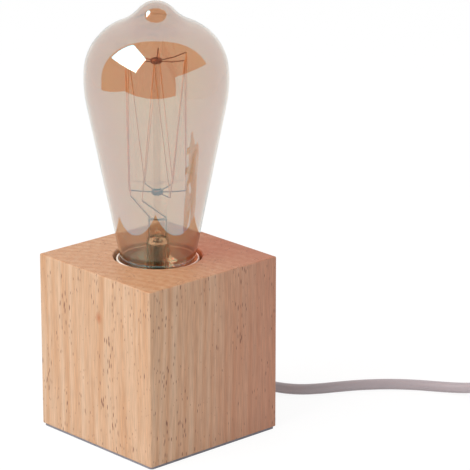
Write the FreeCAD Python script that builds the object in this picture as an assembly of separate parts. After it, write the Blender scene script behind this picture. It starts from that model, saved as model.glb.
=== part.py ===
"""Bare bulb table lamp: a teardrop filament bulb in a lampholder sunk into a wooden cube.

Millimetres, +Z up. The origin is the middle of the underside, on the surface the lamp stands on.
The cord leaves the middle of the +Y face, which is the back.
"""
import FreeCAD, Part
import math
import os

os.makedirs("parts", exist_ok=True)
V = FreeCAD.Vector
UP = V(0, 0, 1)
ORIGIN = V(0, 0, 0)

# Wooden cube and its pad
BLOCK_SIDE = 75.0
BLOCK_TOP = 82.0
BLOCK_EASING = 0.6
PAD_THICKNESS = 1.0
PAD_INSET = 0.5
PAD_CORNER = 1.5
BORE_R = 20.0
BORE_FLOOR = 24.0
BORE_EASING = 0.4
RECESS_R = 22.0
RECESS_CEILING = 16.0
NIPPLE_HOLE_R = 5.2

# Plate that closes the recess
PLATE_R = 28.5
PLATE_THICKNESS = 1.5
PLATE_GAP = 0.2
PLATE_SCREW_RING = 25.0
PLATE_SCREW_ANGLES = (-90, 30, 150)
PLATE_SCREW_LENGTH = 10.0
SCREW_R = 1.4
SCREW_HEAD_R = 2.6

# Cord and the way it leaves the block
CORD_D = 5.0
CORD_R = CORD_D / 2
EXIT_HEIGHT = 7.5
BUSH_R = 3.5
BUSH_HOLE_R = 3.6
BUSH_BORE_R = 2.55
BUSH_FLANGE_R = 5.0
BUSH_FLANGE = 1.2
BUSH_TAIL = 8.0
BUSH_TAIL_R = 3.3
SHEATH_END = 8.0
CLAMP_WIDTH = 18.0
CLAMP_FRONT = 11.0
CLAMP_DEPTH = 8.0
CLAMP_GAP = 0.6
CLAMP_SCREW_X = 6.3
SADDLE_BOTTOM = 4.2
CLAMP_SCREW_TOP = 21.0

# Hollow threaded tube and nut that hold the lampholder down
NIPPLE_R = 5.0
NIPPLE_BORE_R = 3.5
NIPPLE_BOTTOM = 11.0
NIPPLE_TOP = 31.0
WASHER_R = 10.5
WASHER_THICKNESS = 1.5
NUT_ACROSS_FLATS = 14.0
NUT_THICKNESS = 3.0

# Lampholder
HOLDER_R = 18.6
HOLDER_RIM = 81.0
HOLDER_RIM_WALL = 0.9
HOLDER_SPLIT = 38.0
CAP_NECK_R = 17.1
CAP_NECK_TOP = 44.0
CAP_FLOOR = 27.0
CAP_INNER_R = 15.3
CAP_FOOT_BEVEL = 4.0
CAP_BUSH_R = 7.5
CAP_BUSH_TOP = 31.0
SHELF_R = 15.8
SHELF_THICKNESS = 1.6
INSERT_BOTTOM = 41.0
INSERT_R = 15.0
INSERT_FLANGE_R = 16.9
INSERT_FLANGE_TOP = 46.0
INSERT_COLLAR_R = 15.5
INSERT_COLLAR_TOP = 58.0
INSERT_LEDGE_R = 12.6
INSERT_FLOOR = 44.5
SHELL_INNER_R = 13.3
SHELL_WALL = 0.35
SHELL_TOP = 72.0
SHELL_LIP_R = 11.5

# Terminals and the sprung centre contact
TERMINAL_X = 9.0
TERMINAL_WIDTH = 5.0
TERMINAL_DEPTH = 7.0
TERMINAL_BOTTOM = 35.0
POST_R = 1.0
LIVE_POST_X = -10.2
NEUTRAL_POST_X = 12.3
WIRE_D = 1.9
WIRE_Y = 1.2
LEAF_ROOT_X = -8.3
LEAF_WIDTH = 5.0
LEAF_THICKNESS = 0.4
LEAF_TOP = 47.4

# Bulb: a 64 mm teardrop on a 27 mm screw cap
BULB_TIP = 198.2
GLASS_WALL = 0.9
TIP_RADIUS = 10.2
TIP_TURN = 48.8
HOLLOW_RADIUS = 23.1
HOLLOW_TURN = 27.1
SHOULDER_RADIUS = 24.4
SHOULDER_TURN = 63.3
SIDE_RADIUS = 55.6
TAPER = 11.3
TAPER_LENGTH = 73.6
NECK_RADIUS = 12.0
NECK_TURN = 35.0
NECK_HOLLOW_RADIUS = 4.0
NECK_LENGTH = 3.5
CAP_R = 13.1
CAP_WALL = 0.3
CAP_TOP = 72.8
CAP_BOTTOM = 53.8
INSULATOR_TOP = 55.0
INSULATOR_BOTTOM = 49.2
INSULATOR_BORE_R = 1.2
CEMENT_R = 11.9
CEMENT_BOTTOM = 67.0
CONTACT_TIP = 47.5
CONTACT_R = 4.7
CONTACT_TOP = 49.1

# Glass mount inside the bulb, turned to face the front corner of the cube
MOUNT_TURN = 47.4
STEM_R = 5.2
STEM_WALL = 0.9
STEM_TOP = 88.0
FLARE_BOTTOM = 67.3
FLARE_HEIGHT = 11.0
EXHAUST_TUBE_R = 1.9
EXHAUST_BORE_R = 1.2
EXHAUST_TUBE_END = 61.5
PRESS_WIDTH = 8.4
PRESS_THICKNESS = 3.6
PRESS_TOP = 98.8
EXHAUST_HOLE_Z = 92.3
EXHAUST_HOLE_R = 1.5
ROD_R = 1.6
ROD_TOP = 172.6
UPPER_HUB_Z = 171.4
LOWER_HUB_Z = 111.6
HUB_R = 2.6
HUB_HEIGHT = 2.4
HOOK_WIRE_R = 0.25
UPPER_HOOKS = 6
UPPER_HOOK_REACH = 14.4
UPPER_HOOK_RISE = 2.0
LOWER_HOOKS = 5
LOWER_HOOK_REACH = 12.2
LOWER_HOOK_RISE = 0.6
FILAMENT_R = 0.22
LEAD_R = 0.4
LEAD_X = 3.6
LEAD_KINK_Z = 99.9
FIRST_LEAD_ANGLE = -167.0
SECOND_LEAD_ANGLE = -122.0
LEAD_END_Z = 110.8
LEAD_GAP = 0.02

# Route of the cord: from the back of the cube over the floor to the switch
CORD_TO_SWITCH = (
    (0, 45.5, 7.5), (0, 52.2, 7.5), (1.2, 59.0, 6.2), (4.2, 65.2, 4.1), (9.2, 70.6, 2.8), (14.8, 76.0, 2.5),
    (19.6, 83.2, 2.5), (23.6, 91.2, 2.5), (28.6, 100.2, 2.5), (36.2, 110.4, 2.5), (45.8, 119.2, 2.5),
    (56.6, 126.2, 2.6), (66.0, 130.9, 3.4), (73.0, 133.0, 5.1), (79.2, 133.6, 6.5),
)
SWITCH_PLACE = V(112.5, 133.6, 0)
SWITCH_TURN = 0.0
SWITCH_LENGTH = 54.0

# Route from the switch down to the coil
SWITCH_TO_COIL = (
    (144.7, 133.6, 6.5), (152.1, 132.9, 5.0), (158.1, 130.5, 3.3), (163.77, 126.59, 2.5),
)

# Coil of the length that is put away: four layers, each a spiral, one on top of the other
COIL_PLACE = V(148.6, 97.0, 0)
COIL_TURNS = 8.6
COIL_LAYERS = 4
COIL_MIDDLE_R = 25.4
COIL_STEP = 5.55
COIL_START_ANGLE = 45.0

# Route from the coil's end, curving in over its top layer, to the plug that lies on it
CORD_TO_PLUG = (
    (114.77, 107.33, 19.15), (117.7, 117.5, 21.0), (124.9, 125.2, 23.6), (134.7, 128.9, 25.5),
    (145.2, 127.8, 26.9), (154.0, 122.1, 27.9), (159.4, 113.1, 28.5), (160.1, 102.6, 28.5),
)

# Switch on the cord
SWITCH_WIDTH = 18.0
SWITCH_END_WIDTH = 11.0
SWITCH_HEIGHT = 16.0
SWITCH_SPLIT = 6.5
SWITCH_WALL = 1.6
SWITCH_EDGE = 2.2
ROCKER_AXIS_Z = 13.2
ROCKER_LENGTH = 15.0
ROCKER_WIDTH = 8.4
ROCKER_SLOT_GAP = 0.35
ROCKER_TILT = 8.0
ROCKER_PIN_R = 1.0
ROCKER_PIN_REACH = 5.6
SWITCH_SCREW_X = 14.5
SWITCH_SCREW_Y = 5.3
SWITCH_SHEATH = 9.0
CONTACT_POST_END = 9.0
CONTACT_POST_LENGTH = 5.0
CORE_SPREAD = 1.1

# Flat two-pin plug
PLUG_WIDTH = 35.0
PLUG_THICKNESS = 13.7
PLUG_LENGTH = 25.0
PLUG_RELIEF = 14.0
PIN_R = 2.0
PIN_SHANK_R = 1.7
PIN_SHANK = 4.0
PIN_TIP_EASING = 1.2
PIN_LENGTH = 19.0
PIN_SPACING = 18.6


def export(shape, name):
    """Writes one piece to its own file."""
    shape.exportStep("parts/" + name + ".step")


def cylinder(radius, low, high, x=0.0, y=0.0):
    """An upright cylinder between two heights."""
    return Part.makeCylinder(radius, high - low, V(x, y, low), UP)


def box(x0, x1, y0, y1, z0, z1):
    """A box between two corners."""
    return Part.makeBox(x1 - x0, y1 - y0, z1 - z0, V(x0, y0, z0))


def turned(points):
    """A solid turned about Z from (radius, height) points."""
    wire = Part.makePolygon([V(r, 0, z) for r, z in points] + [V(points[0][0], 0, points[0][1])])
    return Part.Face(wire).revolve(ORIGIN, UP, 360)


def trace(start, heading, moves):
    """Edges in the X-Z plane and their end. A move is (length,) or (radius, turn), headings below +X."""
    edges = []
    at = V(start[0], 0, start[1])
    for move in moves:
        a = math.radians(heading)
        if len(move) == 1:
            end = at + V(math.cos(a), 0, -math.sin(a)) * move[0]
            edges.append(Part.LineSegment(at, end).toShape())
        else:
            radius, turn = move
            side = math.copysign(radius, turn)
            centre = at - V(math.sin(a), 0, math.cos(a)) * side
            halfway = math.radians(heading + turn / 2)
            heading += turn
            b = math.radians(heading)
            middle = centre + V(math.sin(halfway), 0, math.cos(halfway)) * side
            end = centre + V(math.sin(b), 0, math.cos(b)) * side
            edges.append(Part.Arc(at, middle, end).toShape())
        at = end
    return edges, at


def rounded_route(points, radii=None, closed=False):
    """Straight runs joined by tangent arcs. Without radii, each arc is as large as its runs allow."""
    knots = [V(*p) for p in points]
    count = len(knots)
    corners = range(count) if closed else range(1, count - 1)
    arcs = {}
    used = []
    for i in corners:
        before = knots[i - 1] - knots[i]
        after = knots[(i + 1) % count] - knots[i]
        half_turn = (math.pi - before.getAngle(after)) / 2
        if radii is None:
            radius = 0.45 * min(before.Length, after.Length) / math.tan(half_turn)
        else:
            radius = radii[i] if isinstance(radii, (list, tuple)) else radii
        used.append(radius)
        tangent = radius * math.tan(half_turn)
        start = knots[i] + before.normalize() * tangent
        end = knots[i] + after.normalize() * tangent
        inward = (before + after).normalize()
        middle = knots[i] + inward * (radius / math.cos(half_turn) - radius)
        arcs[i] = (start, middle, end)
    edges = []
    at = arcs[count - 1][2] if closed else knots[0]
    for i in range(count):
        if i in arcs:
            if at.distanceToPoint(arcs[i][0]) > 1e-6:
                edges.append(Part.LineSegment(at, arcs[i][0]).toShape())
            edges.append(Part.Arc(*arcs[i]).toShape())
            at = arcs[i][2]
    if not closed:
        edges.append(Part.LineSegment(at, knots[-1]).toShape())
    return edges, used


def tube(edges, radius):
    """A round solid along edges that follow each other smoothly."""
    path = Part.Wire(edges)
    start = edges[0].valueAt(edges[0].FirstParameter)
    along = edges[0].tangentAt(edges[0].FirstParameter)
    section = Part.Wire(Part.Circle(start, along, radius).toShape())
    return path.makePipeShell([section], True, False)


def free_cord(points, name):
    """A stretch of the cord that lies free, with its bends and length printed."""
    edges, radii = rounded_route(points)
    solid = tube(edges, CORD_R)
    length = sum(edge.Length for edge in edges)
    share = solid.Volume / (math.pi * CORD_R**2 * length)
    print(name, "length %.1f volume share %.4f" % (length, share), "radii", [round(r) for r in radii])
    export(solid, name)
    return length


def rounded_plan(points, radii, low, high):
    """An upright solid on a closed plan with rounded corners."""
    edges, _ = rounded_route([(x, y, low) for x, y in points], radii, closed=True)
    return Part.Face(Part.Wire(edges)).extrude(V(0, 0, high - low))


def edges_at(shape, height):
    """The edges that lie level at one height."""
    def level(edge):
        return abs(edge.BoundBox.ZMin - height) < 1e-4 and abs(edge.BoundBox.ZMax - height) < 1e-4
    return [edge for edge in shape.Edges if level(edge)]


def make_block():
    half = BLOCK_SIDE / 2
    block = box(-half, half, -half, half, PAD_THICKNESS, BLOCK_TOP)
    block = block.makeFillet(BLOCK_EASING, block.Edges)
    block = block.cut(cylinder(BORE_R, BORE_FLOOR, BLOCK_TOP + 1))
    eased = [(0, BLOCK_TOP - BORE_R - BORE_EASING), (BORE_R + BORE_EASING, BLOCK_TOP), (0, BLOCK_TOP)]
    block = block.cut(turned(eased))
    block = block.cut(cylinder(NIPPLE_HOLE_R, RECESS_CEILING - 1, BORE_FLOOR + 1))
    block = block.cut(cylinder(RECESS_R, 0, RECESS_CEILING))
    block = block.cut(cylinder(PLATE_R + PLATE_GAP, 0, PAD_THICKNESS + PLATE_THICKNESS + 0.05))
    block = block.cut(Part.makeCylinder(BUSH_HOLE_R, half, V(0, 10, EXIT_HEIGHT), V(0, 1, 0)))
    for x, y in plate_screw_places():
        block = block.cut(cylinder(SCREW_R, 0, PAD_THICKNESS + PLATE_SCREW_LENGTH, x, y))
    for x in (-CLAMP_SCREW_X, CLAMP_SCREW_X):
        block = block.cut(cylinder(SCREW_R, RECESS_CEILING - 1, CLAMP_SCREW_TOP, x, clamp_middle()))
    export(block, "wood_block")


def make_pad():
    half = BLOCK_SIDE / 2 - PAD_INSET
    plan = [(-half, -half), (half, -half), (half, half), (-half, half)]
    export(rounded_plan(plan, PAD_CORNER, 0, PAD_THICKNESS), "base_pad")


def plate_screw_places():
    """Where the plate's screws stand."""
    turns = [math.radians(a) for a in PLATE_SCREW_ANGLES]
    return [(PLATE_SCREW_RING * math.cos(a), PLATE_SCREW_RING * math.sin(a)) for a in turns]


def clamp_middle():
    """The middle of the cord clamp, from front to back."""
    return CLAMP_FRONT + CLAMP_DEPTH / 2


def flat_screw(head_z, tip_z, x, y):
    """A countersunk wood screw that points up, its head flat at the bottom."""
    shank = tip_z - head_z
    points = [(0, 0), (SCREW_HEAD_R, 0), (SCREW_R, 1.4), (SCREW_R, shank - 1.5), (0, shank)]
    screw = turned(points)
    screw = screw.cut(box(-0.35, 0.35, -1.6, 1.6, -1, 0.7))
    screw = screw.cut(box(-1.6, 1.6, -0.35, 0.35, -1, 0.7))
    screw.translate(V(x, y, head_z))
    return screw


def pan_screw(head_z, tip_z, x, y):
    """A raised-head screw that points up."""
    head = [(0, 0), (SCREW_HEAD_R - 0.6, 0), (SCREW_HEAD_R, 0.5), (SCREW_HEAD_R, 1.4), (SCREW_R, 1.4)]
    length = tip_z - head_z
    screw = turned(head + [(SCREW_R, length - 1.5), (0, length)])
    screw = screw.cut(box(-0.35, 0.35, -1.6, 1.6, -1, 0.7))
    screw.translate(V(x, y, head_z))
    return screw


def make_plate():
    top = PAD_THICKNESS + PLATE_THICKNESS
    plate = cylinder(PLATE_R, PAD_THICKNESS, top)
    sink = [(0, -0.1), (SCREW_HEAD_R + 0.2, -0.1), (SCREW_R + 0.1, 1.5), (SCREW_R + 0.1, 3), (0, 3)]
    for x, y in plate_screw_places():
        hole = turned(sink)
        hole.translate(V(x, y, PAD_THICKNESS))
        plate = plate.cut(hole)
    export(plate, "base_plate")
    low = PAD_THICKNESS + 0.05
    tip = PAD_THICKNESS + PLATE_SCREW_LENGTH - 0.2
    export(Part.Compound([flat_screw(low, tip, x, y) for x, y in plate_screw_places()]), "plate_screws")


def make_cord_bush():
    """A plastic bush with a tapered tail that keeps the cord from bending at the hole."""
    back = BLOCK_SIDE / 2
    start = RECESS_R
    flange = back + BUSH_FLANGE
    profile = [
        (BUSH_BORE_R, start), (BUSH_R - 0.4, start), (BUSH_R, start + 1), (BUSH_R, back),
        (BUSH_FLANGE_R - 0.3, back), (BUSH_FLANGE_R, back + 0.4), (BUSH_FLANGE_R - 0.4, flange),
        (BUSH_TAIL_R + 0.9, flange), (BUSH_TAIL_R, back + BUSH_TAIL), (BUSH_BORE_R, back + BUSH_TAIL),
    ]
    bush = turned(profile)
    bush.rotate(ORIGIN, V(1, 0, 0), -90)
    bush.translate(V(0, 0, EXIT_HEIGHT))
    export(bush, "cord_bush")
    length = back + BUSH_TAIL - SHEATH_END
    sheath = Part.makeCylinder(CORD_R, length, V(0, SHEATH_END, EXIT_HEIGHT), V(0, 1, 0))
    export(sheath, "inner_sheath")


def make_cord_clamp():
    half = CLAMP_WIDTH / 2
    back = CLAMP_FRONT + CLAMP_DEPTH
    cord = Part.makeCylinder(CORD_R, 40, V(0, 0, EXIT_HEIGHT), V(0, 1, 0))
    seat_bottom = EXIT_HEIGHT + CLAMP_GAP
    seat = box(-half, half, CLAMP_FRONT, back, seat_bottom, RECESS_CEILING)
    saddle = box(-half, half, CLAMP_FRONT, back, SADDLE_BOTTOM, EXIT_HEIGHT - CLAMP_GAP)
    saddle = saddle.makeFillet(1.0, [e for e in saddle.Edges if abs(e.tangentAt(0).z) > 0.9])
    for x in (-CLAMP_SCREW_X, CLAMP_SCREW_X):
        hole = cylinder(SCREW_R + 0.1, 0, RECESS_CEILING + 1, x, clamp_middle())
        seat = seat.cut(hole)
        saddle = saddle.cut(hole)
    export(seat.cut(cord), "clamp_seat")
    export(saddle.cut(cord), "clamp_saddle")
    head = SADDLE_BOTTOM - 1.4
    top = CLAMP_SCREW_TOP - 0.3
    screws = [pan_screw(head, top, x, clamp_middle()) for x in (-CLAMP_SCREW_X, CLAMP_SCREW_X)]
    export(Part.Compound(screws), "clamp_screws")


def make_nipple():
    tube_wall = cylinder(NIPPLE_R, NIPPLE_BOTTOM, NIPPLE_TOP)
    export(tube_wall.cut(cylinder(NIPPLE_BORE_R, 0, BLOCK_TOP)), "threaded_nipple")
    washer_bottom = RECESS_CEILING - WASHER_THICKNESS
    washer = cylinder(WASHER_R, washer_bottom, RECESS_CEILING)
    export(washer.cut(cylinder(NIPPLE_R + 0.1, 0, BLOCK_TOP)), "nut_washer")
    across_corners = NUT_ACROSS_FLATS / math.cos(math.pi / 6)
    turns = [math.radians(60 * k) for k in range(6)]
    corners = [(across_corners / 2 * math.cos(a), across_corners / 2 * math.sin(a)) for a in turns]
    nut = rounded_plan(corners, 0.4, washer_bottom - NUT_THICKNESS, washer_bottom)
    export(nut.cut(cylinder(NIPPLE_R + 0.03, 0, BLOCK_TOP)), "lock_nut")


def make_holder_cap():
    """Lower half of the lampholder, which the threaded tube screws into."""
    profile = [
        (NIPPLE_R + 0.03, BORE_FLOOR), (HOLDER_R - CAP_FOOT_BEVEL, BORE_FLOOR),
        (HOLDER_R - 1.2, BORE_FLOOR + 1.2), (HOLDER_R, BORE_FLOOR + CAP_FOOT_BEVEL),
        (HOLDER_R, HOLDER_SPLIT), (CAP_NECK_R, HOLDER_SPLIT), (CAP_NECK_R, CAP_NECK_TOP),
        (CAP_INNER_R, CAP_NECK_TOP), (CAP_INNER_R, CAP_FLOOR), (CAP_BUSH_R, CAP_FLOOR),
        (CAP_BUSH_R, CAP_BUSH_TOP), (NIPPLE_R + 0.03, CAP_BUSH_TOP),
    ]
    export(turned(profile), "holder_cap")


def make_holder_skirt():
    """Upper half of the lampholder. Its rim is the white ring that shows in the hole."""
    inner = HOLDER_R - HOLDER_RIM_WALL
    shelf_low = INSERT_FLANGE_TOP + 0.05
    shelf_top = shelf_low + SHELF_THICKNESS
    profile = [
        (CAP_NECK_R + 0.05, HOLDER_SPLIT), (HOLDER_R, HOLDER_SPLIT), (HOLDER_R, HOLDER_RIM - 0.3),
        (HOLDER_R - 0.25, HOLDER_RIM), (inner + 0.25, HOLDER_RIM), (inner, HOLDER_RIM - 0.3),
        (inner, shelf_top + 1.5), (SHELF_R + 0.4, shelf_top), (SHELF_R, shelf_top - 0.3),
        (SHELF_R, shelf_low), (CAP_NECK_R + 0.05, shelf_low),
    ]
    export(turned(profile), "holder_skirt")


def make_holder_insert():
    """Ceramic core that carries the terminals, the screw shell and the centre contact."""
    outer_shell = SHELL_INNER_R + SHELL_WALL + 0.25
    profile = [
        (0, INSERT_BOTTOM), (INSERT_R, INSERT_BOTTOM), (INSERT_R, CAP_NECK_TOP),
        (INSERT_FLANGE_R, CAP_NECK_TOP), (INSERT_FLANGE_R, INSERT_FLANGE_TOP),
        (INSERT_COLLAR_R, INSERT_FLANGE_TOP), (INSERT_COLLAR_R, INSERT_COLLAR_TOP),
        (outer_shell, INSERT_COLLAR_TOP), (outer_shell, INSERT_FLANGE_TOP),
        (INSERT_LEDGE_R, INSERT_FLANGE_TOP), (INSERT_LEDGE_R, INSERT_FLOOR), (0, INSERT_FLOOR),
    ]
    insert = turned(profile)
    for x in (LIVE_POST_X, NEUTRAL_POST_X):
        insert = insert.cut(cylinder(POST_R + 0.05, INSERT_BOTTOM - 1, INSERT_FLANGE_TOP + 1, x))
    export(insert, "holder_insert")
    lip = INSERT_FLANGE_TOP + 0.05
    shell = [
        (SHELL_LIP_R, lip), (SHELL_INNER_R + SHELL_WALL, lip), (SHELL_INNER_R + SHELL_WALL, SHELL_TOP),
        (SHELL_INNER_R, SHELL_TOP), (SHELL_INNER_R, lip + SHELL_WALL), (SHELL_LIP_R, lip + SHELL_WALL),
    ]
    export(turned(shell), "screw_shell")


def terminal(x, post_x, post_top):
    """A brass terminal block with its post, a hole for the wire and a tapped hole for its screw."""
    low = min(x - TERMINAL_WIDTH / 2, post_x - 1.4)
    high = max(x + TERMINAL_WIDTH / 2, post_x + 1.4)
    half = TERMINAL_DEPTH / 2
    block = box(low, high, -half, half, TERMINAL_BOTTOM, INSERT_BOTTOM)
    block = block.fuse(cylinder(POST_R, INSERT_BOTTOM - 0.5, post_top, post_x)).removeSplitter()
    wire_top = INSERT_BOTTOM - 1.5
    block = block.cut(cylinder(WIRE_D / 2 + 0.05, 0, wire_top + 0.5, x, WIRE_Y))
    screw_z = (TERMINAL_BOTTOM + INSERT_BOTTOM) / 2
    hole_length = half + WIRE_Y
    return block.cut(Part.makeCylinder(1.25, hole_length, V(x, -half, screw_z), V(0, 1, 0)))


def terminal_screw(x):
    """A slotted screw that presses the wire in its terminal."""
    half = TERMINAL_DEPTH / 2
    screw_z = (TERMINAL_BOTTOM + INSERT_BOTTOM) / 2
    end = WIRE_Y - WIRE_D / 2 - 0.05
    head = 1.6
    tip = head + half + end
    screw = turned([(0, 0), (1.9, 0), (2.2, 0.3), (2.2, head), (1.2, head), (1.2, tip), (0, tip)])
    screw = screw.cut(box(-2.5, 2.5, -0.3, 0.3, -1, 0.7))
    screw.rotate(ORIGIN, V(1, 0, 0), -90)
    screw.translate(V(x, -half - head, screw_z))
    return screw


def make_terminals():
    export(terminal(-TERMINAL_X, LIVE_POST_X, INSERT_FLOOR), "live_terminal")
    export(terminal(TERMINAL_X, NEUTRAL_POST_X, INSERT_FLANGE_TOP), "neutral_terminal")
    export(Part.Compound([terminal_screw(-TERMINAL_X), terminal_screw(TERMINAL_X)]), "terminal_screws")


def make_wire(side, name):
    """One insulated core, from the end of the sheath through the threaded tube to its terminal."""
    offset = side * (WIRE_D / 2 + 0.15)
    end_x = side * TERMINAL_X
    route = [
        (offset, SHEATH_END, EXIT_HEIGHT), (offset, 0, EXIT_HEIGHT), (offset, 0, NIPPLE_TOP + 1.2),
        (end_x, WIRE_Y, TERMINAL_BOTTOM - 2.2), (end_x, WIRE_Y, INSERT_BOTTOM - 1.5),
    ]
    edges, _ = rounded_route(route, [0, 3.4, 2.4, 2.4, 0])
    export(tube(edges, WIRE_D / 2), name)


def make_centre_contact():
    """The sprung leaf that presses on the bulb's tip, and the riveted clamp that holds its root."""
    half = LEAF_WIDTH / 2
    clamp = box(-11.8, LEAF_ROOT_X - 0.2, -half, half, INSERT_FLOOR, INSERT_FLOOR + 1.0)
    rivet = cylinder(POST_R + 0.5, INSERT_FLOOR + 0.9, INSERT_FLOOR + 1.5, LIVE_POST_X)
    export(clamp.fuse(rivet).removeSplitter(), "contact_clamp")
    root = INSERT_FLOOR + 0.8
    top = [(LEAF_ROOT_X, root), (-5.5, root), (-1.2, LEAF_TOP), (1.2, LEAF_TOP), (3.2, LEAF_TOP - 0.8)]
    under = [(3.0, LEAF_TOP - 1.2), (1.05, LEAF_TOP - LEAF_THICKNESS), (-1.0, LEAF_TOP - LEAF_THICKNESS),
             (-5.3, root - LEAF_THICKNESS), (LEAF_ROOT_X, root - LEAF_THICKNESS)]
    outline = [V(x, -half, z) for x, z in top + under]
    leaf = Part.Face(Part.makePolygon(outline + [outline[0]])).extrude(V(0, LEAF_WIDTH, 0))
    export(leaf, "contact_leaf")


def bulb_outline(inset):
    """The glass outline from the tip to the neck's end, moved inwards by inset."""
    side_turn = 90 + TAPER - (TIP_TURN - HOLLOW_TURN + SHOULDER_TURN)
    moves = [
        (TIP_RADIUS - inset, TIP_TURN), (HOLLOW_RADIUS + inset, -HOLLOW_TURN),
        (SHOULDER_RADIUS - inset, SHOULDER_TURN), (SIDE_RADIUS - inset, side_turn), (TAPER_LENGTH,),
        (NECK_RADIUS - inset, NECK_TURN), (NECK_HOLLOW_RADIUS + inset, -NECK_TURN - TAPER), (NECK_LENGTH,),
    ]
    return trace((0, BULB_TIP - inset), 0, moves)


def make_envelope():
    outer, outer_end = bulb_outline(0)
    inner, inner_end = bulb_outline(GLASS_WALL)
    rim = Part.LineSegment(outer_end, inner_end).toShape()
    axis = Part.LineSegment(V(0, 0, BULB_TIP), V(0, 0, BULB_TIP - GLASS_WALL)).toShape()
    outline = Part.Wire(Part.__sortEdges__(outer + [rim] + inner + [axis]))
    export(Part.Face(outline).revolve(ORIGIN, UP, 360), "glass_envelope")
    print("glass neck ends at r %.2f z %.2f" % (outer_end.x, outer_end.z))
    return inner_end.x


def in_mount(shape):
    """Turns a piece of the glass mount to the way it faces."""
    shape.rotate(ORIGIN, UP, MOUNT_TURN)
    return shape


def make_stem(neck_r):
    """Flared glass tube that closes the neck, with the exhaust tube in it, pinched flat at its top."""
    inner_r = STEM_R - STEM_WALL
    low = FLARE_BOTTOM
    rim_r = neck_r - 0.03
    rim_top = V(rim_r, 0, low + 1.0)
    foot = V(STEM_R, 0, low + FLARE_HEIGHT)
    inner_foot = V(inner_r, 0, low + FLARE_HEIGHT)
    rim_inner = V(rim_r - 0.6, 0, low)
    outline = [
        Part.LineSegment(rim_inner, V(rim_r, 0, low)), Part.LineSegment(V(rim_r, 0, low), rim_top),
        Part.Arc(rim_top, V(STEM_R + 1.4, 0, low + 4.6), foot),
        Part.LineSegment(foot, V(STEM_R, 0, STEM_TOP)),
        Part.LineSegment(V(STEM_R, 0, STEM_TOP), V(inner_r, 0, STEM_TOP)),
        Part.LineSegment(V(inner_r, 0, STEM_TOP), inner_foot),
        Part.Arc(inner_foot, V(inner_r + 1.5, 0, low + 4.1), rim_inner),
    ]
    wall = Part.Face(Part.Wire([line.toShape() for line in outline])).revolve(ORIGIN, UP, 360)
    round_end = Part.Wire(Part.Circle(V(0, 0, STEM_TOP), UP, STEM_R).toShape())
    flat_end = Part.Ellipse(V(0, 0, STEM_TOP + 3.6), PRESS_WIDTH / 2, PRESS_THICKNESS / 2)
    shoulder = Part.makeLoft([round_end, Part.Wire(flat_end.toShape())], True)
    half = PRESS_WIDTH / 2
    press = box(-half, half, -PRESS_THICKNESS / 2, PRESS_THICKNESS / 2, STEM_TOP + 2.0, PRESS_TOP)
    press = press.makeFillet(1.2, [e for e in press.Edges if abs(e.tangentAt(0).z) > 0.9])
    exhaust = cylinder(EXHAUST_TUBE_R, EXHAUST_TUBE_END, STEM_TOP + 1.0)
    stem = wall.fuse([shoulder, press, exhaust]).removeSplitter()
    stem = stem.cut(cylinder(EXHAUST_BORE_R, EXHAUST_TUBE_END + 1.0, EXHAUST_HOLE_Z))
    stem = stem.cut(Part.makeCylinder(EXHAUST_HOLE_R, 10, V(0, -5, EXHAUST_HOLE_Z), V(0, 1, 0)))
    for x in (-LEAD_X, LEAD_X):
        stem = stem.cut(cylinder(LEAD_R + 0.02, STEM_TOP - 1.0, PRESS_TOP + 1.0, x))
    export(in_mount(stem), "glass_stem")


def make_rod():
    rod = cylinder(ROD_R, PRESS_TOP, ROD_TOP - ROD_R)
    tip = Part.makeSphere(ROD_R, V(0, 0, ROD_TOP - ROD_R))
    export(rod.fuse(tip).removeSplitter(), "support_rod")


def hook_tip(angle, reach, height):
    """The point of a hook at an angle in the mount's own frame."""
    a = math.radians(angle)
    return V(reach * math.cos(a), reach * math.sin(a), height)


def wire_run(start, end, radius):
    """A straight stretch of wire with round ends."""
    along = end - start
    run = Part.makeCylinder(radius, along.Length, start, along)
    return [run, Part.makeSphere(radius, start), Part.makeSphere(radius, end)]


def upper_angles():
    """Directions of the upper hooks."""
    return [SECOND_LEAD_ANGLE + 360 / UPPER_HOOKS * (k + 0.5) for k in range(UPPER_HOOKS)]


def lower_angles():
    """Directions of the lower hooks, which fill the gaps between the upper ones."""
    return [SECOND_LEAD_ANGLE + 360 / UPPER_HOOKS * (k + 1) for k in range(LOWER_HOOKS)]


def hub(height, angles, reach, rise, name):
    """A glass bead on the rod with wire hooks that spread from it."""
    bead = cylinder(HUB_R, height - HUB_HEIGHT / 2, height + HUB_HEIGHT / 2)
    bead = bead.makeFillet(0.9, bead.Edges)
    bead = bead.cut(cylinder(ROD_R + 0.01, height - 5, height + 5))
    pieces = []
    for angle in angles:
        root = hook_tip(angle, HUB_R - 0.5, height)
        knee = hook_tip(angle, reach * 0.6, height + rise * 0.3)
        tip = hook_tip(angle, reach, height + rise)
        pieces += wire_run(root, knee, HOOK_WIRE_R) + wire_run(knee, tip, HOOK_WIRE_R)
    export(in_mount(bead.fuse(pieces).removeSplitter()), name)


def make_hooks():
    hub(UPPER_HUB_Z, upper_angles(), UPPER_HOOK_REACH, UPPER_HOOK_RISE, "upper_hooks")
    hub(LOWER_HUB_Z, lower_angles(), LOWER_HOOK_REACH, LOWER_HOOK_RISE, "lower_hooks")


def lead_tips():
    """Where the two lead wires hold the filament's ends."""
    first = hook_tip(FIRST_LEAD_ANGLE, LOWER_HOOK_REACH, LEAD_END_Z)
    second = hook_tip(SECOND_LEAD_ANGLE, LOWER_HOOK_REACH, LEAD_END_Z)
    return first, second


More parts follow.
